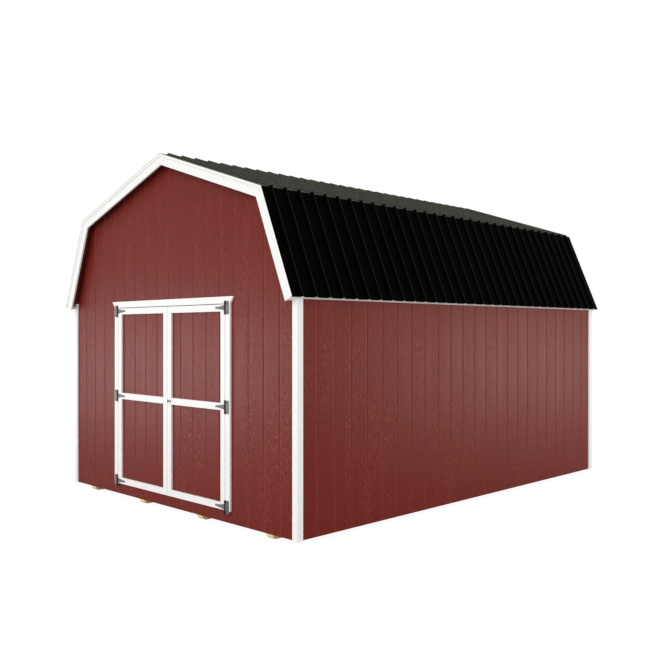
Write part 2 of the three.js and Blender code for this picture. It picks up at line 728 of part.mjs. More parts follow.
// a T-hinge strap that narrows from its root to a round tip, with its knuckle on the pin
function makeStrap(group, name, side, z) {
  const root = hingeAxisX - hingeKnuckleRadius;
  const tip = hingeAxisX - hingeStrapLength + hingeStrapTip / 2;
  const high = z + hingeStrapRoot / 2;
  const low = z - hingeStrapRoot / 2;
  const shape = new THREE.Shape();
  shape.moveTo(side * hingeAxisX, low);
  shape.lineTo(side * hingeAxisX, high);
  shape.lineTo(side * root, high);
  const waist = side * (root - hingeStrapCurve);
  shape.quadraticCurveTo(waist, z + hingeStrapWaist / 2, side * tip, z + hingeStrapTip / 2);
  shape.absarc(side * tip, z, hingeStrapTip / 2, Math.PI / 2, Math.PI * 1.5, side > 0);
  shape.quadraticCurveTo(waist, z - hingeStrapWaist / 2, side * root, low);
  const back = -trimFaceY - fitGap;
  const strap = alongY(shape, back - hingePlateThick, back);
  const barrel = knuckle(side, low, high, hingeKnuckleRadius - fitGap);
  const bore = knuckle(side, low - past, high + past, hingeBoreRadius);
  place(group, name, cut(join([strap, barrel]), [bore]), hingeSteel);
}

// the turned profile of the latch's rose, neck and knob: radius, and distance from the board
function knobProfile() {
  const line = [[0, 0], [latchRoseRadius, 0], [latchRoseRadius, latchRoseThick / 2],
    [latchRoseRadius - latchRoseThick / 2, latchRoseThick], [latchNeckRadius, latchRoseThick]];
  const steps = 8;
  const start = Math.asin(latchNeckRadius / latchKnobRadius);
  for (let i = 0; i <= steps; i += 1) {
    const turn = start + i / steps * (Math.PI - start);
    const radius = i < steps ? latchKnobRadius * Math.sin(turn) : 0;
    line.push([radius, latchKnobReach - latchKnobDepth / 2 * Math.cos(turn)]);
  }
  return line.map(([radius, out]) => new THREE.Vector2(radius, out));
}

// a round knob whose spindle passes through the leaf to a turn-cam on its inner face
function makeLatch() {
  const face = -trimFaceY - fitGap;
  const inside = leafFrameBackY + fitGap;
  const knob = new THREE.LatheGeometry(knobProfile(), 24).rotateX(Math.PI);
  const latch = join([
    knob.translate(latchOffset, face, latchHeight),
    rodY(latchSpindleRadius, latchOffset, latchHeight, face - past, inside + latchCamThick, 12),
    block(latchOffset - latchCamWidth / 2, latchOffset + latchCamLength, inside,
      inside + latchCamThick, latchHeight - latchCamWidth / 2, latchHeight + latchCamWidth / 2),
  ]);
  place(doorRight, 'latch', latch, hingeSteel);
}

function makeDoors() {
  makeDoorCasing();
  for (const [group, hand, side] of [[doorLeft, 'left', -1], [doorRight, 'right', 1]]) {
    makeLeaf(group, hand, side);
    ['bottom', 'middle', 'top'].forEach((level, i) =>
      makeStrap(group, `hinge_strap_${hand}_${level}`, side, hingeHeights[i]));
  }
  makeLatch();
}

makeSkids();
makeFloor();
makeSideWallFrames();
makeFrontWallFrames();
makeFrontGableFrame();
makeBackWallFrame();
makeSiding();
makeRafters();
makeRoofDecks();
makeRoofSheets();
makeEaveBoards();
makeRakes();
makeCornerTrims();
makeDoors();

export default barn;
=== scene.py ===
# The finish, the small fastenings and the light of the lofted barn. Metres, +Z up; the front
# gable with the doors faces -Y.
import json
import math

import bmesh
import bpy
from mathutils import Matrix, Vector


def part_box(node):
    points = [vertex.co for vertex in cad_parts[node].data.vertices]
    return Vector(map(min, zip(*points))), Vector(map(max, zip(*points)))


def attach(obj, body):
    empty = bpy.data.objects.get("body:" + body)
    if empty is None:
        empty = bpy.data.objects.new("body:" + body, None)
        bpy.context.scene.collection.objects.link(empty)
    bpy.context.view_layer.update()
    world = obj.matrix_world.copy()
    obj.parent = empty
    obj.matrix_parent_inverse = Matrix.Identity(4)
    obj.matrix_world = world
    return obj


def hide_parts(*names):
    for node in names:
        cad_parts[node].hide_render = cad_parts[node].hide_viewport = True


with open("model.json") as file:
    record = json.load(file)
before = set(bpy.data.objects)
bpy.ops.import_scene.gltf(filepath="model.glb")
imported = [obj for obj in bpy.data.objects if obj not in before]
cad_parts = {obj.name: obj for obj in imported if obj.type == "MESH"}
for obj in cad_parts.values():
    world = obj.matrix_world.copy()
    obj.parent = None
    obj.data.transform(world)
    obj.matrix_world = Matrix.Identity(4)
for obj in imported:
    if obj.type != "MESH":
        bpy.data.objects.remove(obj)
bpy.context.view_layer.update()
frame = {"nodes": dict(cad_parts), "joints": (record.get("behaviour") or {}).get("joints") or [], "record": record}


def joint_place(name):
    """Where a joint of the part turns."""
    return next(j for j in frame["joints"] if j["name"] == name)["pos_m"]


# ---- sizes taken from the frame

FRONT_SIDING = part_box("siding_front_gable")
SIDE_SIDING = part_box("siding_right")
SIDE_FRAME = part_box("wall_frame_right")
FLOOR_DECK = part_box("floor_deck")
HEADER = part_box("door_header")
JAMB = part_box("door_jamb_right")
DECK_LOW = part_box("roof_deck_lower_right")
DECK_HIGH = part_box("roof_deck_upper_right")
ROOF_END_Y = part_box("roof_sheet_lower_right")[1][1]
HINGE_AXIS = joint_place("door_right_hinge")
HINGE_HEIGHTS = [sum(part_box(f"hinge_strap_right_{level}")[end][2] for end in (0, 1)) / 2
                 for level in ("bottom", "middle", "top")]
KNOB_AXIS = joint_place("latch_turn")

SIDING_FACE_Y = -FRONT_SIDING[0][1]       # outer face of the end walls' siding, from the middle
STUD_FACE_X = SIDE_SIDING[0][0]           # raw inner face of the side walls' siding
STUD_FACE_Y = -FLOOR_DECK[0][1]           # and of the end walls' siding
TRIM_FACE_Y = -HEADER[0][1]               # outer face of the trim boards

# the roof's knee, and the lean of each slope from upright
KNEE_X = DECK_HIGH[1][0]
LOWER_LEAN = math.degrees(math.atan2(DECK_LOW[1][0] - DECK_LOW[0][0],
                                     DECK_LOW[1][2] - DECK_LOW[0][2]))
UPPER_LEAN = math.degrees(math.atan2(DECK_HIGH[1][0], DECK_HIGH[1][2] - DECK_HIGH[0][2]))

# ---- sizes of the stock that the building is made from

PANEL_WIDTH = 1.2192                      # siding and floor sheets are 4 ft wide
GROOVE_PITCH = 0.2032
GROOVE_EDGE = 0.0082                      # from a groove's middle to the edge of the board
GROOVE_SHOULDER = 0.015                   # and to where its eased shoulder ends
TRIM_WIDTH = 0.0635
STUD_THICK, STUD_DEPTH = 0.038, 0.089
RIB_PITCH = 0.1583
RIB_CREST = 0.009                         # half the width of a rib's flat top
RIB_FOOT = 0.022                          # half the width of a rib at its foot
BARREL_RADIUS = 0.007
PIN_HALF = 0.059                          # half the length of a hinge pin

RAIL_MIDDLE = HINGE_AXIS[2]               # height of the doors' middle rails
# heights over which the wall frames' timber lies flat: bottom plates, then top plates
RAIL_ZONES = [
    (SIDE_FRAME[0][2], SIDE_FRAME[0][2] + STUD_THICK),
    (SIDE_FRAME[1][2] - 2 * STUD_THICK, SIDE_FRAME[1][2] + STUD_THICK),
]

# how far the shader masks reach
SLIP = 0.001                              # past the face that a mask stops at
HAIR = 0.0001                             # the same, for what stands right on that face
RAW_REACH_X = STUD_FACE_X + SLIP
RAW_REACH_Y = STUD_FACE_Y + 0.006         # takes in the doors' raw backs, 5 mm further out
EAVE_EDGE_X = DECK_LOW[1][0] - 0.0125     # the roof boards' edge is painted outside this


# ---- shader helpers

def put(tree, kind, inputs=None, **settings):
    """Add a node. An input is given a value, or the output that feeds it."""
    node = tree.nodes.new(kind)
    for name, value in settings.items():
        setattr(node, name, value)
    for name, value in (inputs or {}).items():
        if isinstance(value, bpy.types.NodeSocket):
            tree.links.new(value, node.inputs[name])
        else:
            node.inputs[name].default_value = value
    return node


def math_node(tree, operation, first, second=0.0, clamp=False):
    return put(tree, "ShaderNodeMath", {0: first, 1: second}, operation=operation,
               use_clamp=clamp).outputs[0]


def mix_colour(tree, factor, first, second, blend="MIX"):
    node = put(tree, "ShaderNodeMix", {0: factor, 6: first, 7: second}, data_type="RGBA",
               blend_type=blend)
    return node.outputs[2]


def blend_value(tree, factor, first, second):
    node = put(tree, "ShaderNodeMix", {0: factor, 2: first, 3: second}, data_type="FLOAT")
    return node.outputs[0]


def blend_vector(tree, factor, first, second):
    node = put(tree, "ShaderNodeMix", {0: factor, 4: first, 5: second}, data_type="VECTOR")
    return node.outputs[1]


def split(tree, place):
    """The X, Y and Z of a place."""
    return put(tree, "ShaderNodeSeparateXYZ", {0: place}).outputs


def vector(tree, x, y, z):
    return put(tree, "ShaderNodeCombineXYZ", {"X": x, "Y": y, "Z": z}).outputs[0]


def noise(tree, place, scale, **settings):
    return put(tree, "ShaderNodeTexNoise", {
        "Vector": place, "Scale": scale, **settings}).outputs["Fac"]


def within(tree, value, reach):
    """1 where the value lies between -reach and reach, else 0."""
    return math_node(tree, "LESS_THAN", math_node(tree, "ABSOLUTE", value), reach)


def smooth_step(tree, value, low, high):
    return put(tree, "ShaderNodeMapRange", {
        "Value": value, "From Min": low, "From Max": high},
        interpolation_type="SMOOTHSTEP").outputs[0]


def ramp(tree, factor, stops):
    """A colour ramp from (place, value) or (place, colour) stops."""
    node = put(tree, "ShaderNodeValToRGB", {0: factor})
    marks = node.color_ramp.elements
    while len(marks) < len(stops):
        marks.new(0.5)
    for mark, (place, value) in zip(marks, stops):
        mark.position = place
        mark.color = (*value, 1) if isinstance(value, tuple) else (value, value, value, 1)
    return node.outputs[0]


def drawn_out(tree, place, stretch):
    """A place squeezed along Z, so that a texture is drawn out along it."""
    squeeze = vector(tree, 1.0, 1.0, math_node(tree, "DIVIDE", 1.0, stretch))
    return put(tree, "ShaderNodeVectorMath", {0: place, 1: squeeze},
               operation="MULTIPLY").outputs[0]


def effect(name, inputs, outputs):
    """A shader node group with named inputs and outputs."""
    tree = bpy.data.node_groups.new(name, "ShaderNodeTree")
    kinds = {"v": "NodeSocketVector", "f": "NodeSocketFloat", "c": "NodeSocketColor"}
    for socket, kind in inputs.items():
        tree.interface.new_socket(name=socket, in_out="INPUT", socket_type=kinds[kind])
    for socket, kind in outputs.items():
        tree.interface.new_socket(name=socket, in_out="OUTPUT", socket_type=kinds[kind])
    start = tree.nodes.new("NodeGroupInput").outputs
    end = tree.nodes.new("NodeGroupOutput").inputs
    return tree, start, end


def use(tree, group, inputs):
    return put(tree, "ShaderNodeGroup", inputs, node_tree=group).outputs


# ---- shared effects

def make_wood_figure():
    """Grain along Z: uneven growth lines with short fibres, as a height from 0 to 1. Lines and
    Fibres are how many go to a metre across the grain, Stretch is how much longer than wide
    they are, and Sway bends the lines."""
    tree, given, out = effect(
        "wood figure",
        {"Vector": "v", "Lines": "f", "Fibres": "f", "Stretch": "f", "Sway": "f"},
        {"Height": "f", "Fibre": "f"})
    drawn = drawn_out(tree, given["Vector"], given["Stretch"])
    streaks = noise(tree, drawn, given["Lines"], Detail=2.0, Roughness=0.5,
                    Distortion=given["Sway"])
    lines = ramp(tree, streaks, [(0.36, 0.0), (0.64, 1.0)])
    fibre = noise(tree, drawn, given["Fibres"], Detail=3.0, Roughness=0.6)
    tree.links.new(blend_value(tree, 0.45, lines, fibre), out["Height"])
    tree.links.new(fibre, out["Fibre"])
    return tree


FINER = 3.1                               # fine wrinkles to one ridge of the cedar figure


def make_cedar_emboss():
    """The cedar figure pressed into a siding panel: short wavy ridges along Z, deep in some
    columns and faint between them, as a height from 0 to 1. Depth says how deep a column is."""
    tree, given, out = effect(
        "cedar emboss", {"Vector": "v", "Ridges": "f", "Stretch": "f", "Columns": "f"},
        {"Height": "f", "Depth": "f"})
    drawn = drawn_out(tree, given["Vector"], given["Stretch"])
    ridges = noise(tree, drawn, given["Ridges"], Detail=2.0, Roughness=0.45, Distortion=0.6)
    fine = noise(tree, drawn, math_node(tree, "MULTIPLY", given["Ridges"], FINER), Detail=1.0)
    tall = put(tree, "ShaderNodeMapping", {
        "Vector": given["Vector"], "Scale": (1.0, 1.0, 0.1)}).outputs[0]
    columns = noise(tree, tall, given["Columns"], Detail=1.5)
    depth = ramp(tree, columns, [(0.42, 0.45), (0.6, 1.0)])
    shape = blend_value(tree, 0.3, ramp(tree, ridges, [(0.37, 0.0), (0.63, 1.0)]), fine)
    tree.links.new(math_node(tree, "MULTIPLY", shape, depth), out["Height"])
    tree.links.new(depth, out["Depth"])
    return tree


def make_mottle():
    """Uneven tone: a colour lightened and darkened in soft patches. Patches is how many go to
    a metre, and Mask is the patches themselves, from 0 to 1."""
    tree, given, out = effect(
        "mottle", {"Vector": "v", "Color": "c", "Patches": "f", "Amount": "f"},
        {"Color": "c", "Mask": "f"})
    patch = noise(tree, given["Vector"], given["Patches"], Detail=4.0, Roughness=0.55)
    swing = math_node(tree, "MULTIPLY", math_node(tree, "SUBTRACT", patch, 0.5), 2.0)
    bright = math_node(tree, "ADD", 1.0, math_node(tree, "MULTIPLY", swing, given["Amount"]))
    scaled = put(tree, "ShaderNodeVectorMath", {0: given["Color"], "Scale": bright},
                 operation="SCALE").outputs[0]
    tree.links.new(scaled, out["Color"])
    tree.links.new(patch, out["Mask"])
    return tree


def make_orange_peel():
    """The fine unevenness of sprayed or rolled paint, as a height from 0 to 1."""
    tree, given, out = effect("orange peel", {"Vector": "v", "Grains": "f"}, {"Height": "f"})
    tree.links.new(noise(tree, given["Vector"], given["Grains"], Detail=2.0), out["Height"])
    return tree


def make_indoors():
    """1 on the raw faces inside the walls' siding, 0 on all that shows outside."""
    tree, given, out = effect("indoors", {"Vector": "v"}, {"Mask": "f"})
    xyz = split(tree, given["Vector"])
    across = within(tree, xyz["X"], RAW_REACH_X)
    along = within(tree, xyz["Y"], RAW_REACH_Y)
    tree.links.new(math_node(tree, "MULTIPLY", across, along), out["Mask"])
    return tree


WOOD_FIGURE = make_wood_figure()
CEDAR_EMBOSS = make_cedar_emboss()
MOTTLE = make_mottle()
ORANGE_PEEL = make_orange_peel()
INDOORS = make_indoors()


def mottled(tree, place, colour, patches, amount):
    """A colour made uneven: the outputs Color and Mask of the mottle."""
    return use(tree, MOTTLE, {
        "Vector": place, "Color": colour, "Patches": patches, "Amount": amount})


# ---- colours

RED_PAINT = (0.168, 0.0166, 0.0098, 1)
GROOVE_EDGE_HIGHLIGHT = (0.235, 0.052, 0.041, 1)     # a painted highlight along the edges of the grooves, where their shoulders catch the sheen
HOLLOW_SHADE_TINT = (0.72, 0.54, 0.48, 1)       # painted shade: the red paint's tint in the hollows of the cedar figure
RIDGE_HIGHLIGHT_TINT = (1.24, 1.8, 1.95, 1)         # and a painted highlight: its tint on the ridges
NO_TINT = (1, 1, 1, 1)
WHITE_PAINT = (0.845, 0.845, 0.822, 1)
RAW_BOARD = (0.33, 0.2, 0.1, 1)
SOFTWOOD = ((0.66, 0.47, 0.25), (0.49, 0.3, 0.13))      # each timber's light and dark grain
TREATED = ((0.98, 0.74, 0.4), (0.86, 0.6, 0.27))
PLYWOOD = ((0.6, 0.41, 0.2), (0.45, 0.27, 0.11))
OPEN_JOINT = (0.05, 0.03, 0.015, 1)
# stops of a ramp over the strands' tones
STRANDS = [(0.0, (0.3, 0.17, 0.07)), (0.5, (0.5, 0.32, 0.15)), (1.0, (0.62, 0.44, 0.24))]
STEEL = (0.13, 0.129, 0.124, 1)
BARREL_STEEL = (0.02, 0.0195, 0.017, 1)
KNOB_STEEL = (0.2, 0.2, 0.195, 1)
KEY_STEEL = (0.72, 0.72, 0.7, 1)
BLACKENED = (0.045, 0.045, 0.043, 1)
ROOF_BLACK = (0.0006, 0.0006, 0.0005, 1)
# a painted highlight along the rib crests
ROOF_CREST_HIGHLIGHT = (0.0062, 0.006, 0.0048, 1)
# the upper slopes, lightened as dust and as a painted sheen: on the flats, less on the rib flanks, most on the
# crests
DUST_AND_SHEEN_FLAT = (0.078, 0.078, 0.063, 1)
DUST_AND_SHEEN_FLANK = (0.036, 0.036, 0.029, 1)
DUST_AND_SHEEN_CREST = (0.11, 0.11, 0.089, 1)


# ---- materials

def start_material(name, roughness, metallic=0.0, specular=0.5):
    """A plain shader, and the place on the piece that its pattern follows."""
    material = bpy.data.materials.new(name)
    material.use_nodes = True
    tree = material.node_tree
    shader = tree.nodes["Principled BSDF"]
    shader.inputs["Roughness"].default_value = roughness
    shader.inputs["Metallic"].default_value = metallic
    shader.inputs["Specular IOR Level"].default_value = specular
    place = tree.nodes.new("ShaderNodeTexCoord").outputs["Object"]
    return material, tree, shader, place


def bump(tree, shader, height, distance):
    """Raise a surface by a height times a distance."""
    normal = put(tree, "ShaderNodeBump", {
        "Height": height, "Distance": distance, "Strength": 1.0}).outputs["Normal"]
    tree.links.new(normal, shader.inputs["Normal"])


def wall_vector(tree, place):
    """X runs across whichever wall the point is on, from panel to panel, and Z up it."""
    xyz = split(tree, place)
    across = math_node(tree, "ADD", xyz["X"], xyz["Y"])
    panel = math_node(tree, "WRAP", across, PANEL_WIDTH)
    panel.node.inputs[2].default_value = 0.0
    return vector(tree, panel, 0.0, xyz["Z"])


def groove_distance(tree, place):
    """How far a point of the siding is from the middle of the nearest groove."""
    xyz = split(tree, place)
    end_wall = within(tree, xyz["X"], STUD_FACE_X)
    across = blend_value(tree, end_wall, xyz["Y"], xyz["X"])
    return math_node(tree, "PINGPONG", across, GROOVE_PITCH / 2)


PRESSED_DEPTH = 0.0024                    # of the cedar figure
SHOULDER_DEPTH = 0.0028                   # of the easing beside a groove
GROOVE_BED = 0.002                        # half the flat at a groove's middle
HIGHLIGHT_REACH = 0.0022                       # half the width of the painted highlight along a groove's edge


def make_red_siding():
    """Painted siding with a pressed cedar figure outside and raw strand board inside."""
    material, tree, shader, place = start_material("red siding", roughness=0.4, specular=0.08)
    emboss = use(tree, CEDAR_EMBOSS, {
        "Vector": wall_vector(tree, place), "Ridges": 70.0, "Stretch": 3.2, "Columns": 7.0})
    off_groove = groove_distance(tree, place)
    pressed = math_node(tree, "MULTIPLY", emboss["Height"], PRESSED_DEPTH)
    eased = math_node(tree, "MULTIPLY",
                      smooth_step(tree, off_groove, GROOVE_BED, GROOVE_SHOULDER), SHOULDER_DEPTH)
    bump(tree, shader, math_node(tree, "ADD", pressed, eased), distance=1.0)
    tone = mottled(tree, place, RED_PAINT, patches=2.5, amount=0.04)
    # painted shade in the figure's hollows and a painted highlight on its ridges, strongest in its deep columns
    relief_light_and_shade = mix_colour(tree, emboss["Depth"], NO_TINT,
                        mix_colour(tree, emboss["Height"], HOLLOW_SHADE_TINT, RIDGE_HIGHLIGHT_TINT))
    painted = mix_colour(tree, 1.0, tone["Color"], relief_light_and_shade, blend="MULTIPLY")
    # a painted highlight in a thin line along both edges of each groove
    edge = within(tree, math_node(tree, "SUBTRACT", off_groove, GROOVE_EDGE), HIGHLIGHT_REACH)
    painted = mix_colour(tree, edge, painted, GROOVE_EDGE_HIGHLIGHT)
    flakes = mottled(tree, place, RAW_BOARD, patches=70.0, amount=0.7)
    inside = use(tree, INDOORS, {"Vector": place})["Mask"]
    tree.links.new(mix_colour(tree, inside, painted, flakes["Color"]),
                   shader.inputs["Base Color"])
    return material


def white_tone(tree, place):
    return mottled(tree, place, WHITE_PAINT, patches=6.0, amount=0.012)["Color"]


def make_white_trim():
    """White painted trim boards, the grain just telegraphing through the paint."""
    material, tree, shader, place = start_material("white trim", roughness=0.42, specular=0.08)
    tree.links.new(white_tone(tree, place), shader.inputs["Base Color"])
    figure = use(tree, WOOD_FIGURE, {
        "Vector": place, "Lines": 90.0, "Fibres": 260.0, "Stretch": 14.0, "Sway": 0.4})
    bump(tree, shader, figure["Height"], distance=0.00018)
    return material


STEEL_METALLIC = 0.2                      # its coating lets little of the metal through


def steel_tone(tree, place):
    """Coated steel, dark where the hinge barrels stand round their pins."""
    plain = mottled(tree, place, STEEL, patches=160.0, amount=0.3)
    side = math_node(tree, "ABSOLUTE", split(tree, place)["X"])
    off_pin = math_node(tree, "SUBTRACT", side, HINGE_AXIS[0])
    barrel = within(tree, off_pin, BARREL_RADIUS + SLIP)
    return mix_colour(tree, barrel, plain["Color"], BARREL_STEEL), plain["Mask"]


def make_hinge_steel():
    """Grey coated steel of the strap hinges."""
    material, tree, shader, place = start_material(
        "hinge steel", roughness=0.6, metallic=STEEL_METALLIC, specular=0.3)
    colour, mask = steel_tone(tree, place)
    tree.links.new(colour, shader.inputs["Base Color"])
    tree.links.new(ramp(tree, mask, [(0.3, 0.52), (0.7, 0.68)]), shader.inputs["Roughness"])
    peel = use(tree, ORANGE_PEEL, {"Vector": place, "Grains": 900.0})
    bump(tree, shader, peel["Height"], distance=0.0001)
    return material


def make_jamb_trim():
    """The jambs' paint, with steel on the hinge plates that stand proud of their face."""
    material, tree, shader, place = start_material("jamb trim", roughness=0.42, specular=0.08)
    plate = math_node(tree, "LESS_THAN", split(tree, place)["Y"], -TRIM_FACE_Y - HAIR)
    steel, _ = steel_tone(tree, place)
    tree.links.new(mix_colour(tree, plate, white_tone(tree, place), steel),
                   shader.inputs["Base Color"])
    tree.links.new(math_node(tree, "MULTIPLY", plate, STEEL_METALLIC), shader.inputs["Metallic"])
    return material


def make_metal(name, colour, patches, amount, roughness, metallic):
    """Bare or blackened metal of a slightly uneven tone."""
    material, tree, shader, place = start_material(name, roughness, metallic)
    tone = mottled(tree, place, colour, patches, amount)
    tree.links.new(tone["Color"], shader.inputs["Base Color"])
    return material


def make_roof_metal():
    """Black painted ribbed steel, with a painted highlight along the rib crests. On the upper
    slopes the flats and crests are lightened, partly as dust and partly as a painted sheen,
    and the ribs' steep flanks less so."""
    material, tree, shader, place = start_material("roof metal", roughness=0.55, specular=0.006)
    xyz = split(tree, place)
    beside = math_node(tree, "PINGPONG", xyz["Y"], RIB_PITCH / 2)
    crest = math_node(tree, "GREATER_THAN", beside, RIB_PITCH / 2 - RIB_CREST)
    rib = math_node(tree, "GREATER_THAN", beside, RIB_PITCH / 2 - RIB_FOOT)
    # a painted highlight along the crests of the black lower slopes
    clean = mix_colour(tree, crest, ROOF_BLACK, ROOF_CREST_HIGHLIGHT)
    # dust and a painted sheen on the upper slopes
    dust_and_sheen = mix_colour(tree, crest, mix_colour(tree, rib, DUST_AND_SHEEN_FLAT, DUST_AND_SHEEN_FLANK), DUST_AND_SHEEN_CREST)
    dust_and_sheen_tone = mottled(tree, place, dust_and_sheen, patches=24.0, amount=0.6)
    upper = within(tree, xyz["X"], KNEE_X + SLIP)
    tree.links.new(mix_colour(tree, upper, clean, dust_and_sheen_tone["Color"]), shader.inputs["Base Color"])
    peel = use(tree, ORANGE_PEEL, {"Vector": place, "Grains": 60.0})
    bump(tree, shader, peel["Height"], distance=0.0009)
    return material


def make_timber(name, lay, grain=SOFTWOOD):
    """Softwood. lay(tree, x, y, z) gives the vector whose Z runs along the boards."""
    material, tree, shader, place = start_material(name, roughness=0.75, specular=0.2)
    xyz = split(tree, place)
    along = lay(tree, xyz["X"], xyz["Y"], xyz["Z"])
    figure = use(tree, WOOD_FIGURE, {
        "Vector": along, "Lines": 52.0, "Fibres": 240.0, "Stretch": 18.0, "Sway": 0.5})
    light, dark = grain
    figured = mix_colour(tree, ramp(tree, figure["Height"], [(0.25, 0.0), (0.8, 1.0)]),
                         (*light, 1), (*dark, 1))
    tone = mottled(tree, along, figured, patches=3.0, amount=0.12)
    tree.links.new(tone["Color"], shader.inputs["Base Color"])
    bump(tree, shader, figure["Fibre"], distance=0.0004)
    return material


def lay_along_y(tree, x, y, z):
    return vector(tree, x, z, y)


def lay_along_x(tree, x, y, z):
    return vector(tree, y, z, x)


def lay_frame(tree, x, y, z):
    """Upright studs between flat plates: the grain turns where a plate crosses."""
    run = math_node(tree, "ADD", x, y)
    bottom, top = (
        within(tree, math_node(tree, "SUBTRACT", z, (low + high) / 2), (high - low) / 2)
        for low, high in RAIL_ZONES)
    upright = vector(tree, run, math_node(tree, "SUBTRACT", x, y), z)
    flat = vector(tree, z, 0.0, run)
    return blend_vector(tree, math_node(tree, "MAXIMUM", bottom, top), upright, flat)


def lay_rafter(tree, x, y, z):
    """Along the steep rafters outside the knees, and along the low ones between them."""
    side = math_node(tree, "ABSOLUTE", x)
    flat = vector(tree, side, y, z)
    steep, low = (put(tree, "ShaderNodeMapping", {
        "Vector": flat, "Rotation": (0, -math.radians(turn), 0)}).outputs[0]
        for turn in (LOWER_LEAN, UPPER_LEAN))
    return blend_vector(tree, math_node(tree, "GREATER_THAN", side, KNEE_X), low, steep)


def make_strand_board():
    """Roof boards: bare strand board inside, painted red where they run out past the gables
    and white along their edge at the eaves."""
    material, tree, shader, place = start_material("strand board", roughness=0.7, specular=0.2)
    spread = put(tree, "ShaderNodeMapping", {
        "Vector": place, "Rotation": (0, 0, 0.6), "Scale": (1.0, 2.6, 1.6)}).outputs[0]
    flakes = put(tree, "ShaderNodeTexVoronoi", {"Vector": spread, "Scale": 22.0},
                 feature="F1").outputs
    pick = put(tree, "ShaderNodeSeparateColor", {0: flakes["Color"]}).outputs[0]
    xyz = split(tree, place)
    gable = within(tree, xyz["Y"], SIDING_FACE_Y - SLIP)
    soffit = mix_colour(tree, gable, RED_PAINT, ramp(tree, pick, STRANDS))
    eave = within(tree, xyz["X"], EAVE_EDGE_X)
    tree.links.new(mix_colour(tree, eave, WHITE_PAINT, soffit), shader.inputs["Base Color"])
    bump(tree, shader, flakes["Distance"], distance=0.0006)
    return material


SHEET_GAP = 0.0012                        # half the open joint between two floor sheets


def make_plywood():
    """Floor plywood: 4 ft sheets laid across the joists, with a fine open joint between."""
    material, tree, shader, place = start_material("floor plywood", roughness=0.6, specular=0.2)
    xyz = split(tree, place)
    figure = use(tree, WOOD_FIGURE, {
        "Vector": lay_along_x(tree, xyz["X"], xyz["Y"], xyz["Z"]),
        "Lines": 24.0, "Fibres": 180.0, "Stretch": 9.0, "Sway": 1.2})
    light, dark = PLYWOOD
    face = mix_colour(tree, ramp(tree, figure["Height"], [(0.3, 0.0), (0.75, 1.0)]),
                      (*light, 1), (*dark, 1))
    sheet = math_node(tree, "PINGPONG", xyz["Y"], PANEL_WIDTH / 2)
    joint = math_node(tree, "LESS_THAN", sheet, SHEET_GAP)
    tree.links.new(mix_colour(tree, joint, face, OPEN_JOINT), shader.inputs["Base Color"])
    bump(tree, shader, figure["Fibre"], distance=0.0003)
    return material


FINISHES = {
    "red_siding": make_red_siding(),
    "white_trim": make_white_trim(),
    "roof_metal": make_roof_metal(),
    "hinge_steel": make_hinge_steel(),
    "treated_timber": make_timber("treated timber", lay_along_y, TREATED),
    "framing_timber": make_timber("framing timber", lay_frame),
    "sheathing": make_strand_board(),
}
# for nodes whose names start like this, in place of their slot's finish
SPECIAL_FINISHES = {
    "door_jamb": make_jamb_trim(),
    "rafter": make_timber("rafter timber", lay_rafter),
    "floor_frame": make_timber("joist timber", lay_along_x, TREATED),
    "floor_deck": make_plywood(),
    "latch": make_metal("knob steel", KNOB_STEEL, patches=220.0, amount=0.12, roughness=0.3,
                        metallic=0.8),
}
SCREW_BLACK = make_metal("black screws", BLACKENED, patches=300.0, amount=0.3, roughness=0.5,
                         metallic=0.3)


def finish_frame():
    """Give every node of the frame its finish."""
    for entry in frame["record"]["subparts"]:
        name = entry["node"]
        special = next((m for start, m in SPECIAL_FINISHES.items() if name.startswith(start)),
                       None)
        node = frame["nodes"][name]
        node.data.materials.clear()
        node.data.materials.append(special or FINISHES[entry["material_slot"]])


# ---- boards

MERGE = 1e-5                              # points nearer than this are one
ON_PLANE = 1e-6                           # points nearer a saw's plane than this are on it
FLAT_ANGLE = math.radians(0.5)            # faces that meet flatter than this are one
SHARP_ANGLE = math.radians(30)
SAW_CUT = 0.0002                          # half the fine open joint that a saw cut leaves
EASE = 0.0015                             # how far in a board's edges are rounded over
HANDS = {"left": -1, "right": 1}


def show(bm, name, material, body, stands_for=()):
    """Turn a worked bmesh into a piece that rides on a body."""
    mesh = bpy.data.meshes.new(name)
    bm.to_mesh(mesh)
    bm.free()
    mesh.materials.append(material)
    piece = bpy.data.objects.new(name, mesh)
    bpy.context.scene.collection.objects.link(piece)
    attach(piece, body)
    if stands_for:
        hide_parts(*stands_for)


def node_mesh(name):
    """A clean copy of a node's mesh: doubles merged, flat faces whole."""
    bm = bmesh.new()
    bm.from_mesh(frame["nodes"][name].data)
    bmesh.ops.remove_doubles(bm, verts=bm.verts, dist=MERGE)
    bmesh.ops.dissolve_limit(bm, angle_limit=FLAT_ANGLE, verts=bm.verts, edges=bm.edges)
    return bm


def keep_side(bm, point, away):
    """Saw a solid at a plane, keep the part on the near side and close the cut."""
    parts = bm.verts[:] + bm.edges[:] + bm.faces[:]
    cut = Vector(point) - Vector(away) * SAW_CUT
    sawn = bmesh.ops.bisect_plane(bm, geom=parts, dist=ON_PLANE, plane_co=cut, plane_no=away,
                                  clear_outer=True)
    rim = [e for e in sawn["geom_cut"] if isinstance(e, bmesh.types.BMEdge)]
    bmesh.ops.holes_fill(bm, edges=rim, sides=0)


def ease(bm):
    """Round over the sharp edges, as planed boards have them."""
    sharp = [e for e in bm.edges if e.is_manifold and e.calc_face_angle() > SHARP_ANGLE]
    bmesh.ops.bevel(bm, geom=sharp, offset=EASE, offset_type="OFFSET", segments=2,
                    profile=0.5, affect="EDGES", material=-1, clamp_overlap=True)


def gather(parts):
    """Join several worked boards into one bmesh."""
    whole = bmesh.new()
    for bm in parts:
        mesh = bpy.data.meshes.new("board")
        bm.to_mesh(mesh)
        bm.free()
        whole.from_mesh(mesh)
        bpy.data.meshes.remove(mesh)
    return whole


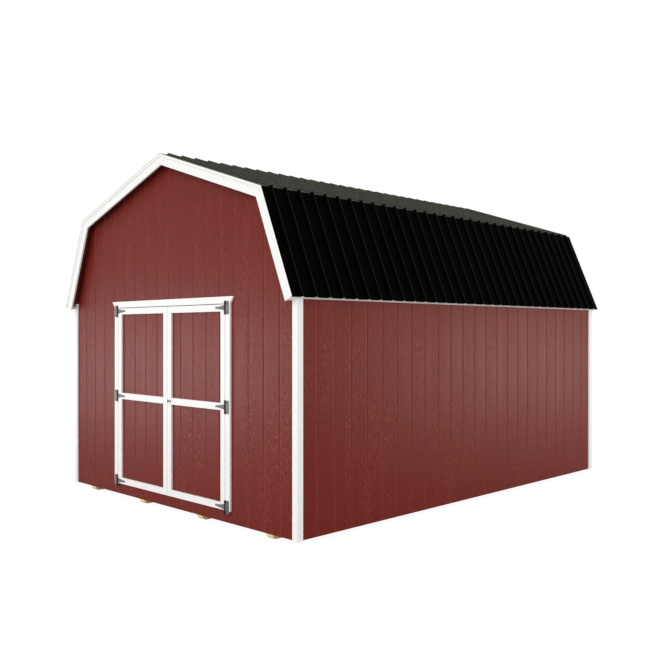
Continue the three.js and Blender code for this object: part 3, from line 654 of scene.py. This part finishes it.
def saw_boards(name, boards=((),)):
    """Saw a node into its boards. Each board is a list of planes: a point and the way off. A
    node given no boards stays whole, with its edges eased."""
    parts = []
    for planes in boards:
        bm = node_mesh(name)
        for point, away in planes:
            keep_side(bm, point, away)
        ease(bm)
        parts.append(bm)
    return gather(parts)


def railed_boards(box, width, middle):
    """Planes that part a railed door frame into two stiles and three rails between them."""
    low, high = box
    left, right = low[0] + width, high[0] - width
    between = [((left, 0, 0), (-1, 0, 0)), ((right, 0, 0), (1, 0, 0))]
    floor, ceiling = low[2] + width, high[2] - width
    return [
        [((left, 0, 0), (1, 0, 0))],
        [((right, 0, 0), (-1, 0, 0))],
        [*between, ((0, 0, floor), (0, 0, 1))],
        [*between, ((0, 0, ceiling), (0, 0, -1))],
        [*between, ((0, 0, middle - width), (0, 0, -1)), ((0, 0, middle + width), (0, 0, 1))],
    ]


def make_door_boards():
    """Each leaf's trim and back frame, parted into stiles and rails."""
    for hand in HANDS:
        for kind, width, slot in (("trim", TRIM_WIDTH, "white_trim"),
                                  ("frame", STUD_DEPTH, "framing_timber")):
            node = f"door_{kind}_{hand}"
            boards = railed_boards(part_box(node), width, RAIL_MIDDLE)
            show(saw_boards(node, boards), f"door_{kind}_boards_{hand}", FINISHES[slot],
                 f"door_{hand}", [node])


def show_white(bm, name, node):
    show(bm, name, FINISHES["white_trim"], "barn", [node])


def make_wall_boards():
    """Corner boards parted where the front one laps the side one, and the other white boards
    with their edges eased."""
    for end, way in (("front", -1), ("back", 1)):
        lap = (0, way * SIDING_FACE_Y, 0)
        for hand in HANDS:
            node = f"corner_trim_{end}_{hand}"
            boards = [[(lap, (0, -way, 0))], [(lap, (0, way, 0))]]
            show_white(saw_boards(node, boards), f"corner_boards_{end}_{hand}", node)
            node = f"rake_{end}_{hand}"
            show_white(saw_boards(node), f"rake_board_{end}_{hand}", node)
    for node in ("door_header", "eave_board_left", "eave_board_right"):
        show_white(saw_boards(node), f"{node}_eased", node)


# ---- fastenings. A small round is its radius, its height, its sides and its top's share of
# the radius.

WASHER = (0.0075, 0.0022, 12, 0.86)
HEX_HEAD = (0.0047, 0.0042, 6)
HEX_LIFT = 0.002                          # it stands on its washer, sunk in by a fifth of a mm
NAIL_HEAD = (0.0036, 0.0007, 10, 0.7)
PIN_END = (BARREL_RADIUS * 0.9, 0.003, 16, 0.6)
KEY_PLUG = (0.0062, 0.0012, 20, 0.9)
KEY_PLUG_SINK = 0.0014                    # how far behind the knob's crown the plug is seated
PAN_SIDES = 12
# a pan head: its height, its top, and its socket's rim and depth, all shares of its radius
PAN_HEIGHT, PAN_TOP, SOCKET_RIM, SOCKET_DEPTH = 0.5, 0.72, 0.36, 0.3

FRONT = (0, -1, 0)
PLATE_THICK = 0.003
STRAP_PROUD = 0.0033                      # a strap's outer face, off the trim
PLATE_SCREW, STRAP_SCREW = 0.0048, 0.0045
PLATE_SCREW_OFFSET = 0.0396               # of the plate's screws outside the hinge pin
PLATE_SCREW_LEVELS = (-0.0397, -0.0132, 0.0132, 0.0397)
STRAP_SCREWS = ((0.034, -0.015), (0.034, 0.015), (0.082, 0.0), (0.14, 0.0))
ROOF_SCREW_ROWS = {"lower": (0.06, 0.51, 0.95), "upper": (0.05, 0.55, 1.05, 1.54)}
SCREW_BESIDE_RIB = 0.036

NAIL_INSET = 0.012                        # from a board's edge
HEADER_INSET = 0.014
ROW_END = 0.04                            # from a board's end
WALL_NAIL_PITCH, DOOR_NAIL_PITCH = 0.4, 0.3
EAVE_CLEAR = 0.12                         # side nails stop this far under the boards' tops
# how far the door nails keep off: a hinge's middle along the stiles, the hinge pins along the
# rails, and the knob
HINGE_CLEAR, STRAP_CLEAR, KNOB_CLEAR = 0.05, 0.17, 0.04


def turned(place, out):
    """A transform that stands Z up along a direction at a place."""
    return Matrix.Translation(place) @ Vector(out).to_track_quat("Z", "Y").to_matrix().to_4x4()


def add_disc(bm, place, out, radius, height, sides, top=1.0):
    """A short closed round of the given top, standing on a surface."""
    seat = Vector(place) + Vector(out) * height / 2
    return bmesh.ops.create_cone(bm, cap_ends=True, segments=sides, radius1=radius,
                                 radius2=radius * top, depth=height,
                                 matrix=turned(seat, out))["verts"]


def add_screw(bm, place, out, radius):
    """A pan head with a sunk driver socket."""
    head = add_disc(bm, place, out, radius, radius * PAN_HEIGHT, PAN_SIDES, PAN_TOP)
    faces = {f for v in head for f in v.link_faces}
    crown = max(faces, key=lambda f: f.calc_center_median().dot(Vector(out)))
    bmesh.ops.inset_individual(bm, faces=[crown], thickness=radius * SOCKET_RIM, depth=0.0)
    socket = bmesh.ops.extrude_discrete_faces(bm, faces=[crown])["faces"]
    verts = {v for f in socket for v in f.verts}
    bmesh.ops.translate(bm, verts=list(verts), vec=Vector(out) * -radius * SOCKET_DEPTH)


def add_roof_screw(bm, place, out):
    """A hex head on its sealing washer."""
    add_disc(bm, place, out, *WASHER)
    add_disc(bm, Vector(place) + Vector(out) * HEX_LIFT, out, *HEX_HEAD)


def add_nail(bm, place, out):
    """A painted nail head."""
    add_disc(bm, place, out, *NAIL_HEAD)


def make_hinge_screws():
    """Black screws in the hinge plates and straps, and the turned ends of the pins."""
    for hand, side in HANDS.items():
        barrel_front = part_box(f"door_jamb_{hand}")[0][1]
        plate_face = barrel_front + 2 * BARREL_RADIUS - PLATE_THICK
        strap_face = -TRIM_FACE_Y - STRAP_PROUD
        plates, pins, straps = bmesh.new(), bmesh.new(), bmesh.new()
        for height in HINGE_HEIGHTS:
            for lift in PLATE_SCREW_LEVELS:
                x = side * (HINGE_AXIS[0] + PLATE_SCREW_OFFSET)
                add_screw(plates, (x, plate_face, height + lift), FRONT, PLATE_SCREW)
            for way in (-1, 1):
                end = (side * HINGE_AXIS[0], HINGE_AXIS[1], height + way * PIN_HALF)
                add_disc(pins, end, (0, 0, way), *PIN_END)
            for reach, lift in STRAP_SCREWS:
                x = side * (HINGE_AXIS[0] - reach)
                add_screw(straps, (x, strap_face, height + lift), FRONT, STRAP_SCREW)
        show(plates, f"hinge_plate_screws_{hand}", SCREW_BLACK, "barn")
        show(pins, f"hinge_pin_ends_{hand}", SCREW_BLACK, "barn")
        show(straps, f"hinge_strap_screws_{hand}", SCREW_BLACK, f"door_{hand}")


def sheet_slope(node):
    """The flat of a roof sheet: its foot, its way up and its way out."""
    bm = node_mesh(node)
    flat = max(bm.faces, key=lambda f: f.calc_area() if f.normal.z > 0 else 0)
    out = flat.normal.copy()
    up = Vector(FRONT).cross(out)
    up = up if up.z > 0 else -up
    foot = min(flat.verts, key=lambda v: v.co.dot(up)).co.copy()
    bm.free()
    return foot, up, out


def make_roof_screws():
    """Rows of sealing screws beside the ribs, painted with the sheets."""
    count = int(2 * ROOF_END_Y / RIB_PITCH)
    for level, rows in ROOF_SCREW_ROWS.items():
        for hand in HANDS:
            foot, up, out = sheet_slope(f"roof_sheet_{level}_{hand}")
            screws = bmesh.new()
            for row in rows:
                for rib in range(count):
                    at = foot + up * row
                    at.y = (rib - (count - 1) / 2) * RIB_PITCH + SCREW_BESIDE_RIB
                    add_roof_screw(screws, at, out)
            show(screws, f"roof_screws_{level}_{hand}", FINISHES["roof_metal"], "barn")


def nail_row(low, high, pitch):
    """Even places from one end to the other, set in a little from both."""
    run = high - low - 2 * ROW_END
    count = max(1, round(run / pitch))
    return [low + ROW_END + run * i / count for i in range(count + 1)]


def make_wall_nails():
    """Painted nail heads in the corner boards, the jambs and the door header."""
    nails = bmesh.new()
    low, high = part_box("corner_trim_front_right")
    side_line = TRIM_FACE_Y - TRIM_WIDTH + NAIL_INSET
    for end in (-1, 1):
        for side in (-1, 1):
            for z in nail_row(low[2], high[2], WALL_NAIL_PITCH):
                for inset in (NAIL_INSET, TRIM_WIDTH - NAIL_INSET):
                    x = side * (high[0] - inset)
                    add_nail(nails, (x, end * TRIM_FACE_Y, z), (0, end, 0))
            for z in nail_row(low[2], high[2] - EAVE_CLEAR, WALL_NAIL_PITCH):
                add_nail(nails, (side * high[0], end * side_line, z), (side, 0, 0))
    for side in (-1, 1):
        for z in nail_row(JAMB[0][2], HEADER[0][2], WALL_NAIL_PITCH):
            add_nail(nails, (side * (JAMB[1][0] - NAIL_INSET), -TRIM_FACE_Y, z), FRONT)
    for x in nail_row(-JAMB[1][0], JAMB[1][0], WALL_NAIL_PITCH):
        for z in (HEADER[0][2] + HEADER_INSET, HEADER[1][2] - HEADER_INSET):
            add_nail(nails, (x, -TRIM_FACE_Y, z), FRONT)
    show(nails, "wall_trim_nails", FINISHES["white_trim"], "barn")


def make_door_nails():
    """Painted nail heads in each leaf's stiles and rails, clear of the hinges and the knob."""
    half = TRIM_WIDTH / 2
    for hand in HANDS:
        low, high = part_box(f"door_trim_{hand}")
        nails = bmesh.new()
        for z in nail_row(low[2], high[2], DOOR_NAIL_PITCH):
            off_hinge = min(abs(z - height) for height in HINGE_HEIGHTS) > HINGE_CLEAR
            if off_hinge and abs(z - KNOB_AXIS[2]) > KNOB_CLEAR:
                for x in (low[0] + half, high[0] - half):
                    add_nail(nails, (x, -TRIM_FACE_Y, z), FRONT)
        for x in nail_row(low[0] + TRIM_WIDTH, high[0] - TRIM_WIDTH, DOOR_NAIL_PITCH):
            if abs(abs(x) - HINGE_AXIS[0]) > STRAP_CLEAR:
                for z in (low[2] + half, RAIL_MIDDLE, high[2] - half):
                    add_nail(nails, (x, -TRIM_FACE_Y, z), FRONT)
        show(nails, f"door_trim_nails_{hand}", FINISHES["white_trim"], f"door_{hand}")


def make_key_plug():
    """The key cylinder in the knob's face."""
    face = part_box("latch")[0][1]
    plug = bmesh.new()
    add_disc(plug, (KNOB_AXIS[0], face + KEY_PLUG_SINK, KNOB_AXIS[2]), FRONT, *KEY_PLUG)
    bright = make_metal("bright steel", KEY_STEEL, patches=220.0, amount=0.1, roughness=0.3,
                        metallic=0.6)
    show(plug, "knob_key_plug", bright, "latch")


# ---- the room round it

CAMERA_PLACE = (6.620, -6.837, 1.739)     # level, looking across the front right corner
CAMERA_TURN = math.radians(45.0)
FIELD_OF_VIEW = math.radians(45.0)
SENSOR = 36.0
SUN_POWER = 1.34
SUN_SPREAD = math.radians(60)
SUN_WAY = (-0.3, 1.0, -0.2)               # the way its light goes
# each lamp's place, what it aims at, and its size
FRONT_LAMP = ((-4.2, -6.85, 1.12), (1.2, -2.46, 1.4), (5.0, 1.6))
SIDE_LAMP = ((6.62, 6.4, 1.12), (1.85, -0.2, 1.4), (4.0, 1.6))
FLOOR_SIZE = 120
FLOOR_PAINT = (0.62, 0.62, 0.62, 1)       # as light bounces off it
FLOOR_SEEN = (0.12, 0.12, 0.12, 1)        # as it takes shadows in the view, under the glow
FLOOR_GLOW = 0.94
SKY_LEVEL = 0.98                          # of the sky's light on matt surfaces


def make_camera():
    data = bpy.data.cameras.new("view")
    data.sensor_width = SENSOR
    data.lens = SENSOR / 2 / math.tan(FIELD_OF_VIEW / 2)
    camera = bpy.data.objects.new("view", data)
    camera.location = CAMERA_PLACE
    camera.rotation_euler = (math.radians(90), 0, CAMERA_TURN)
    bpy.context.scene.collection.objects.link(camera)
    bpy.context.scene.camera = camera


def make_sun():
    """Broad soft light on the front. It leaves no glint on gloss."""
    data = bpy.data.lights.new("key", "SUN")
    data.energy = SUN_POWER
    data.angle = SUN_SPREAD
    lamp = bpy.data.objects.new("key", data)
    lamp.rotation_euler = Vector(SUN_WAY).to_track_quat("-Z", "Y").to_euler()
    lamp.visible_glossy = False
    bpy.context.scene.collection.objects.link(lamp)


def make_soft_lamp(name, place, aim, size, power, colour=(1, 1, 1), gloss=True):
    """A soft lamp out of view. It shows only as a pale sheen on the paint or, with gloss
    False, only as light on matt surfaces."""
    data = bpy.data.lights.new(name, "AREA")
    data.shape = "RECTANGLE"
    data.size, data.size_y = size
    data.energy = power
    data.color = colour
    lamp = bpy.data.objects.new(name, data)
    lamp.location = place
    lamp.rotation_euler = (Vector(aim) - Vector(place)).to_track_quat("-Z", "Y").to_euler()
    lamp.visible_camera = False
    lamp.visible_diffuse = not gloss
    lamp.visible_glossy = gloss
    bpy.context.scene.collection.objects.link(lamp)


def make_floor():
    """A pale floor that looks white but for the shadow on it."""
    bpy.ops.mesh.primitive_plane_add(size=FLOOR_SIZE)
    floor = bpy.context.object
    floor.name = "floor"
    material = bpy.data.materials.new("pale floor")
    material.use_nodes = True
    tree = material.node_tree
    tree.nodes.clear()
    path = tree.nodes.new("ShaderNodeLightPath").outputs
    plain = put(tree, "ShaderNodeBsdfDiffuse", {"Color": FLOOR_PAINT}).outputs[0]
    faint = put(tree, "ShaderNodeBsdfDiffuse", {"Color": FLOOR_SEEN}).outputs[0]
    white = put(tree, "ShaderNodeEmission", {"Strength": FLOOR_GLOW}).outputs[0]
    seen = put(tree, "ShaderNodeAddShader", {0: faint, 1: white}).outputs[0]
    shown = put(tree, "ShaderNodeMixShader", {
        0: path["Is Camera Ray"], 1: plain, 2: seen}).outputs[0]
    put(tree, "ShaderNodeOutputMaterial", {"Surface": shown})
    floor.data.materials.append(material)


def make_sky():
    """A white backdrop to the camera and to gloss, and an even pale light to matt surfaces."""
    world = bpy.data.worlds.new("sky")
    world.use_nodes = True
    tree = world.node_tree
    tree.nodes.clear()
    path = tree.nodes.new("ShaderNodeLightPath").outputs
    mirrored = math_node(tree, "ADD", path["Is Glossy Ray"], path["Is Transmission Ray"])
    seen = math_node(tree, "ADD", path["Is Camera Ray"], mirrored, clamp=True)
    level = blend_value(tree, seen, SKY_LEVEL, 1.0)
    sky = put(tree, "ShaderNodeBackground", {"Color": (1, 1, 1, 1), "Strength": level})
    put(tree, "ShaderNodeOutputWorld", {"Surface": sky.outputs[0]})
    bpy.context.scene.world = world


finish_frame()
make_door_boards()
make_wall_boards()
make_hinge_screws()
make_roof_screws()
make_wall_nails()
make_door_nails()
make_key_plug()
make_camera()
make_sun()
make_floor()
make_sky()
make_soft_lamp("front sheen", *FRONT_LAMP, power=282.0)
make_soft_lamp("side sheen", *SIDE_LAMP, power=248.0, colour=(1.0, 0.9, 0.8))
make_soft_lamp("side fill", *SIDE_LAMP, power=60.0, colour=(1.0, 0.97, 0.94), gloss=False)
bpy.context.scene.view_settings.view_transform = "Standard"
